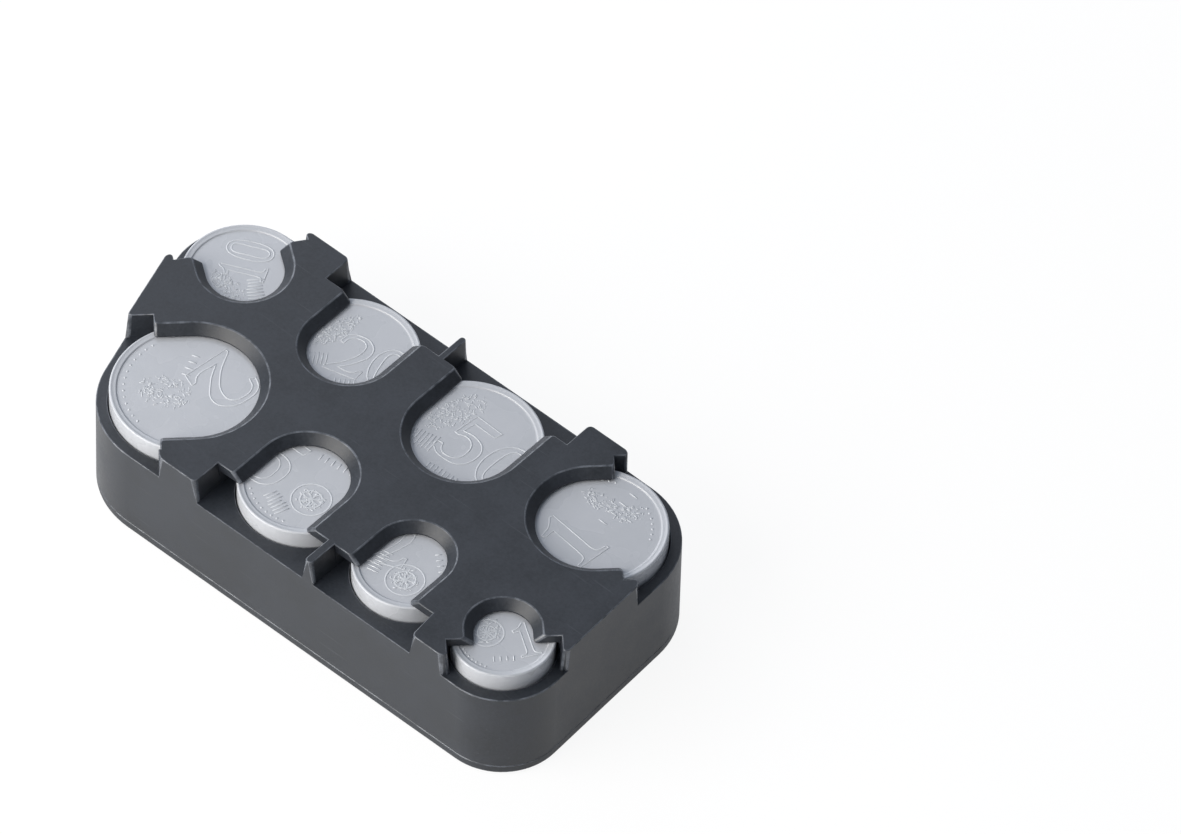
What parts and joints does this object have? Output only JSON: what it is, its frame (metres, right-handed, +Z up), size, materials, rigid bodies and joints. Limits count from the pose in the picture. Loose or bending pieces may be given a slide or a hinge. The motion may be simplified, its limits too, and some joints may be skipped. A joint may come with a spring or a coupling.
{
  "type": "coin sorting machine",
  "caption": "Pocket coin sorter: sprung round wells in two rows hold euro coins by size, and a thumb slides each top coin out sideways.",
  "frame": {"origin": "on the surface the sorter stands on, at the middle of its outline", "axes": "+X along the long side, +Y across the two rows of wells, +Z up"},
  "size_m": [0.0994, 0.0492, 0.0223],
  "materials": {
    "black_plastic": "satin black moulded plastic",
    "grey_plastic": "satin light grey moulded plastic",
    "spring_steel": "bright drawn wire",
    "screw_steel": "zinc-plated steel",
    "pad_rubber": "soft matt rubber"
  },
  "bodies": {
    "housing": {"housing": "black_plastic", "base_cover": "black_plastic", "cover_screws": "screw_steel", "base_pads": "pad_rubber"},
    "pusher_2_euro": {"pusher_2_euro": "grey_plastic", "spring_2_euro": "spring_steel"},
    "pusher_5_cent": {"pusher_5_cent": "grey_plastic", "spring_5_cent": "spring_steel"},
    "pusher_2_cent": {"pusher_2_cent": "grey_plastic", "spring_2_cent": "spring_steel"},
    "pusher_1_cent": {"pusher_1_cent": "grey_plastic", "spring_1_cent": "spring_steel"},
    "pusher_10_cent": {"pusher_10_cent": "grey_plastic", "spring_10_cent": "spring_steel"},
    "pusher_20_cent": {"pusher_20_cent": "grey_plastic", "spring_20_cent": "spring_steel"},
    "pusher_50_cent": {"pusher_50_cent": "grey_plastic", "spring_50_cent": "spring_steel"},
    "pusher_1_euro": {"pusher_1_euro": "grey_plastic", "spring_1_euro": "spring_steel"}
  },
  "joints": [
    {"name": "push_2_euro", "type": "slide", "parent": "housing", "child": "pusher_2_euro", "axis": [0, 0, 1], "range_m": [-0.0122, 0], "stiffness_N_per_m": 60, "springref_m": 0.008, "deforming": ["spring_2_euro"]},
    {"name": "push_5_cent", "type": "slide", "parent": "housing", "child": "pusher_5_cent", "axis": [0, 0, 1], "range_m": [-0.0122, 0], "stiffness_N_per_m": 60, "springref_m": 0.008, "deforming": ["spring_5_cent"]},
    {"name": "push_2_cent", "type": "slide", "parent": "housing", "child": "pusher_2_cent", "axis": [0, 0, 1], "range_m": [-0.0122, 0], "stiffness_N_per_m": 60, "springref_m": 0.008, "deforming": ["spring_2_cent"]},
    {"name": "push_1_cent", "type": "slide", "parent": "housing", "child": "pusher_1_cent", "axis": [0, 0, 1], "range_m": [-0.0122, 0], "stiffness_N_per_m": 60, "springref_m": 0.008, "deforming": ["spring_1_cent"]},
    {"name": "push_10_cent", "type": "slide", "parent": "housing", "child": "pusher_10_cent", "axis": [0, 0, 1], "range_m": [-0.0122, 0], "stiffness_N_per_m": 60, "springref_m": 0.008, "deforming": ["spring_10_cent"]},
    {"name": "push_20_cent", "type": "slide", "parent": "housing", "child": "pusher_20_cent", "axis": [0, 0, 1], "range_m": [-0.0122, 0], "stiffness_N_per_m": 60, "springref_m": 0.008, "deforming": ["spring_20_cent"]},
    {"name": "push_50_cent", "type": "slide", "parent": "housing", "child": "pusher_50_cent", "axis": [0, 0, 1], "range_m": [-0.0122, 0], "stiffness_N_per_m": 60, "springref_m": 0.008, "deforming": ["spring_50_cent"]},
    {"name": "push_1_euro", "type": "slide", "parent": "housing", "child": "pusher_1_euro", "axis": [0, 0, 1], "range_m": [-0.0122, 0], "stiffness_N_per_m": 60, "springref_m": 0.008, "deforming": ["spring_1_euro"]}
  ]
}
